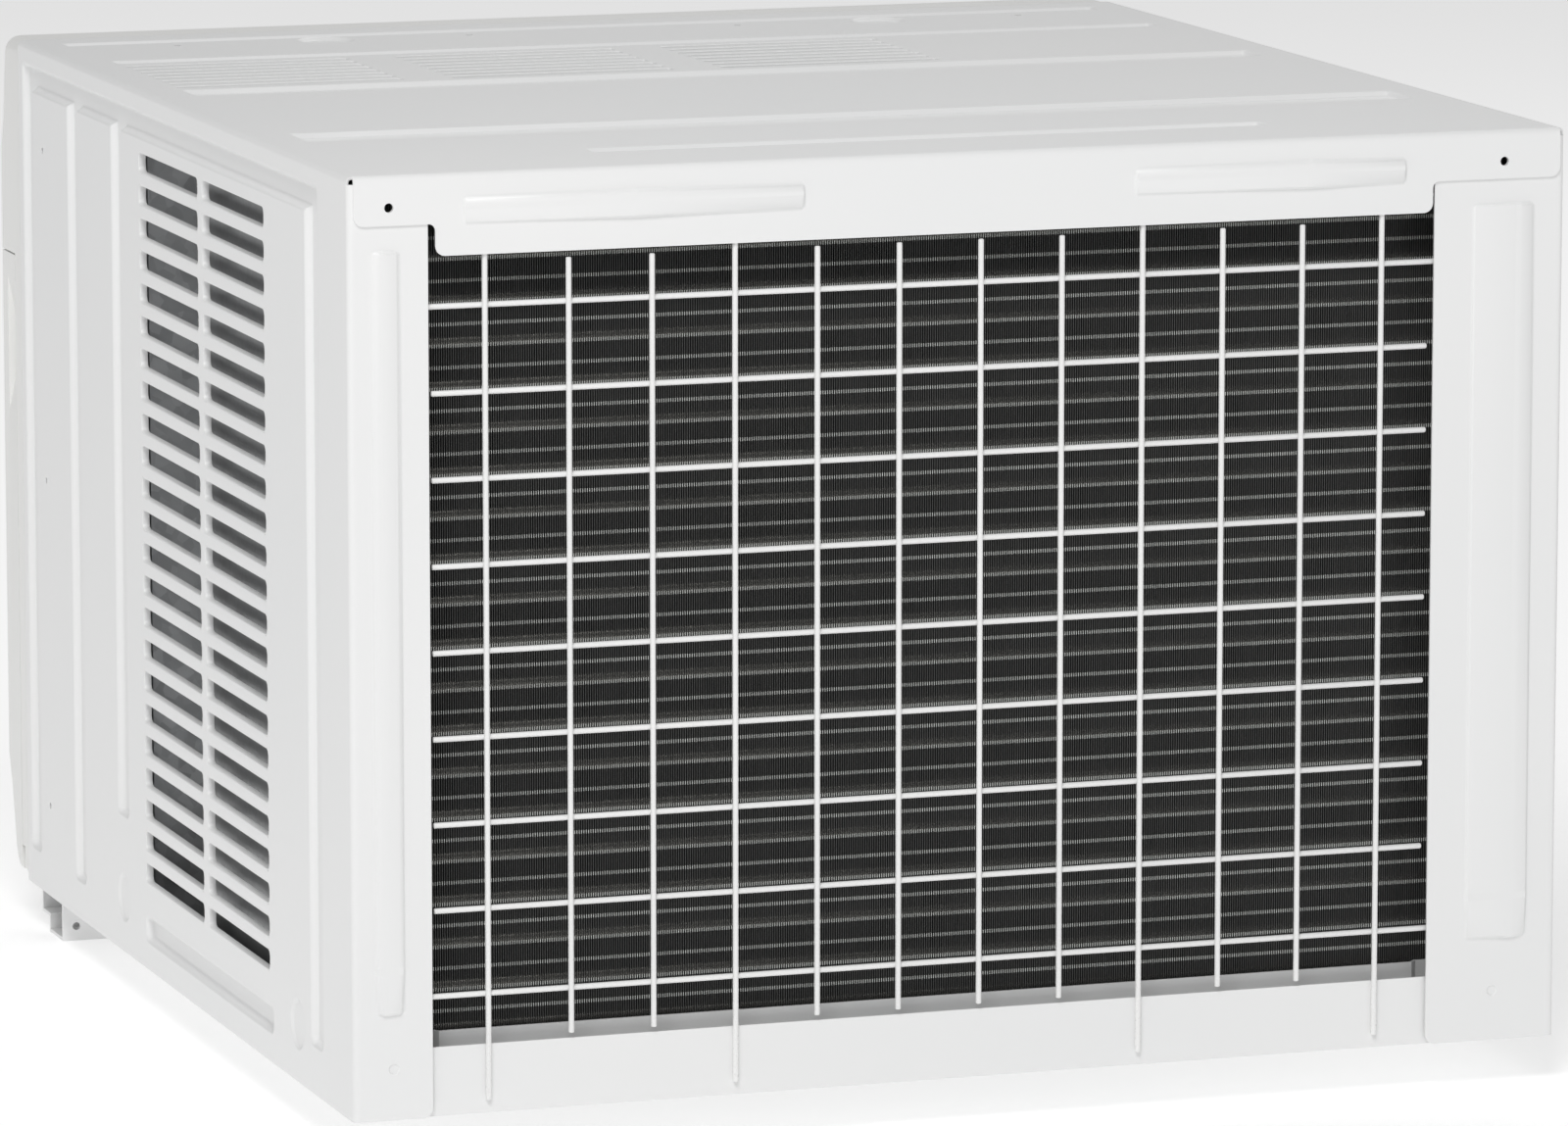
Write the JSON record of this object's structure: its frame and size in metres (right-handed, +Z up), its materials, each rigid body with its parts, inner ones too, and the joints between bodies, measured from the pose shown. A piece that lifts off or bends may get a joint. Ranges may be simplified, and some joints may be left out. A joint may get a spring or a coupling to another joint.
{
  "type": "window_air_conditioner",
  "caption": "Large slide-out window air conditioner: white pressed steel cabinet with louvred sides and top, wire grille over the rear coil, and a bowed plastic front with swinging louvres.",
  "frame": {"origin": "under the middle of the overall box, at the foot of the sill rail", "axes": "+Z up, -Y the room side with the bezel, +Y the outdoor side with the grille"},
  "size_m": [0.66, 0.735, 0.509],
  "materials": {
    "cabinet_paint": "satin",
    "wire_coat": "gloss",
    "galvanised": "satin",
    "zinc": "satin",
    "fin_dark": "satin",
    "fin_bright": "satin",
    "copper": "satin",
    "bronze": "satin",
    "black_paint": "satin",
    "grommet_rubber": "matte",
    "black_plastic": "matte",
    "white_plastic": "satin",
    "foam_white": "matte",
    "lens": "gloss",
    "board": "satin",
    "can": "satin",
    "filter_frame": "matte",
    "filter_mesh": "matte",
    "motor_paint": "satin"
  },
  "bodies": {
    "cabinet": {"cabinet_shell": "cabinet_paint", "case_bottom": "cabinet_paint", "rear_grille": "wire_coat", "sill_rail": "cabinet_paint", "rail_screws": "zinc"},
    "chassis": {"base_pan": "galvanised", "condenser_fins": "fin_dark", "condenser_bends": "copper", "condenser_end_plates": "galvanised", "evaporator_fins": "fin_bright", "evaporator_bends": "copper", "evaporator_end_plates": "galvanised", "compressor_shell": "black_paint", "accumulator": "black_paint", "compressor_grommets": "grommet_rubber", "compressor_nuts": "zinc", "terminal_cover": "black_plastic", "discharge_pipe": "copper", "suction_pipe": "copper", "liquid_line": "copper", "bulkhead": "galvanised", "fan_shroud": "galvanised", "blower_housing": "foam_white", "blower_inlet_plate": "foam_white", "motor_body": "motor_paint", "motor_bushes": "bronze", "motor_bracket": "galvanised", "motor_bolts": "zinc", "control_box": "galvanised", "circuit_board": "board", "run_capacitor": "can", "front_bezel": "white_plastic", "control_panel": "white_plastic", "display_lens": "lens", "cord_gland": "black_plastic", "air_duct": "foam_white", "bezel_screws": "zinc"},
    "fan_rotor": {"fan_shaft": "zinc", "outdoor_fan": "black_plastic", "blower_wheel": "black_plastic"},
    "intake": {"intake_panel": "white_plastic", "filter_frame": "filter_frame", "filter_mesh": "filter_mesh"},
    "vent_pull": {"vent_pull": "white_plastic"},
    "vent_door": {"vent_door": "galvanised"},
    "louvre_1": {"louvre_1": "white_plastic"},
    "louvre_2": {"louvre_2": "white_plastic"},
    "louvre_3": {"louvre_3": "white_plastic"},
    "louvre_4": {"louvre_4": "white_plastic"},
    "deflector_1": {"deflector_1": "white_plastic"},
    "deflector_2": {"deflector_2": "white_plastic"},
    "deflector_3": {"deflector_3": "white_plastic"},
    "deflector_4": {"deflector_4": "white_plastic"},
    "deflector_5": {"deflector_5": "white_plastic"},
    "deflector_6": {"deflector_6": "white_plastic"},
    "button_1": {"button_1": "white_plastic"},
    "button_2": {"button_2": "white_plastic"},
    "button_3": {"button_3": "white_plastic"},
    "button_4": {"button_4": "white_plastic"},
    "button_5": {"button_5": "white_plastic"}
  },
  "joints": [
    {"name": "chassis_slide", "type": "slide", "parent": "cabinet", "child": "chassis", "axis": [0, -1, 0], "range_m": [0, 0.55]},
    {"name": "fan_spin", "type": "hinge", "parent": "chassis", "child": "fan_rotor", "pos_m": [0.03, 0.1, 0.237], "axis": [0, 1, 0], "continuous": true},
    {"name": "intake_hinge", "type": "hinge", "parent": "chassis", "child": "intake", "pos_m": [0, -0.32, 0.037], "axis": [1, 0, 0], "range_deg": [0, 75]},
    {"name": "louvre_1_hinge", "type": "hinge", "parent": "chassis", "child": "louvre_1", "pos_m": [0, -0.34808, 0.40675], "axis": [1, 0, 0], "range_deg": [-40, 40]},
    {"name": "louvre_2_hinge", "type": "hinge", "parent": "chassis", "child": "louvre_2", "pos_m": [0, -0.34225, 0.42425], "axis": [1, 0, 0], "range_deg": [-40, 40]},
    {"name": "louvre_3_hinge", "type": "hinge", "parent": "chassis", "child": "louvre_3", "pos_m": [0, -0.33642, 0.44175], "axis": [1, 0, 0], "range_deg": [-40, 40]},
    {"name": "louvre_4_hinge", "type": "hinge", "parent": "chassis", "child": "louvre_4", "pos_m": [0, -0.33058, 0.45925], "axis": [1, 0, 0], "range_deg": [-40, 40]},
    {"name": "deflector_1_hinge", "type": "hinge", "parent": "chassis", "child": "deflector_1", "pos_m": [-0.25958, -0.314, 0.433], "axis": [0, 0, 1], "range_deg": [-40, 40]},
    {"name": "deflector_2_hinge", "type": "hinge", "parent": "chassis", "child": "deflector_2", "pos_m": [-0.18675, -0.314, 0.433], "axis": [0, 0, 1], "range_deg": [-40, 40]},
    {"name": "deflector_3_hinge", "type": "hinge", "parent": "chassis", "child": "deflector_3", "pos_m": [-0.11392, -0.314, 0.433], "axis": [0, 0, 1], "range_deg": [-40, 40]},
    {"name": "deflector_4_hinge", "type": "hinge", "parent": "chassis", "child": "deflector_4", "pos_m": [-0.04108, -0.314, 0.433], "axis": [0, 0, 1], "range_deg": [-40, 40]},
    {"name": "deflector_5_hinge", "type": "hinge", "parent": "chassis", "child": "deflector_5", "pos_m": [0.03175, -0.314, 0.433], "axis": [0, 0, 1], "range_deg": [-40, 40]},
    {"name": "deflector_6_hinge", "type": "hinge", "parent": "chassis", "child": "deflector_6", "pos_m": [0.10458, -0.314, 0.433], "axis": [0, 0, 1], "range_deg": [-40, 40]},
    {"name": "button_1_press", "type": "slide", "parent": "chassis", "child": "button_1", "axis": [0, 1, 0], "range_m": [0, 0.0012], "stiffness_N_per_m": 500},
    {"name": "button_2_press", "type": "slide", "parent": "chassis", "child": "button_2", "axis": [0, 1, 0], "range_m": [0, 0.0012], "stiffness_N_per_m": 500},
    {"name": "button_3_press", "type": "slide", "parent": "chassis", "child": "button_3", "axis": [0, 1, 0], "range_m": [0, 0.0012], "stiffness_N_per_m": 500},
    {"name": "button_4_press", "type": "slide", "parent": "chassis", "child": "button_4", "axis": [0, 1, 0], "range_m": [0, 0.0012], "stiffness_N_per_m": 500},
    {"name": "button_5_press", "type": "slide", "parent": "chassis", "child": "button_5", "axis": [0, 1, 0], "range_m": [0, 0.0012], "stiffness_N_per_m": 500},
    {"name": "vent_pull_slide", "type": "slide", "parent": "chassis", "child": "vent_pull", "axis": [0, -1, 0], "range_m": [0, 0.012]},
    {"name": "vent_door_hinge", "type": "hinge", "parent": "chassis", "child": "vent_door", "pos_m": [0.17, -0.0764, 0.468], "axis": [-1, 0, 0], "range_deg": [0, 24]}
  ],
  "couplings": [
    {"joint": "louvre_2_hinge", "follows": "louvre_1_hinge", "ratio": 1},
    {"joint": "louvre_3_hinge", "follows": "louvre_1_hinge", "ratio": 1},
    {"joint": "louvre_4_hinge", "follows": "louvre_1_hinge", "ratio": 1},
    {"joint": "deflector_2_hinge", "follows": "deflector_1_hinge", "ratio": 1},
    {"joint": "deflector_3_hinge", "follows": "deflector_1_hinge", "ratio": 1},
    {"joint": "deflector_4_hinge", "follows": "deflector_1_hinge", "ratio": 1},
    {"joint": "deflector_5_hinge", "follows": "deflector_1_hinge", "ratio": 1},
    {"joint": "deflector_6_hinge", "follows": "deflector_1_hinge", "ratio": 1},
    {"joint": "vent_door_hinge", "follows": "vent_pull_slide", "rad_per_m": 32}
  ]
}
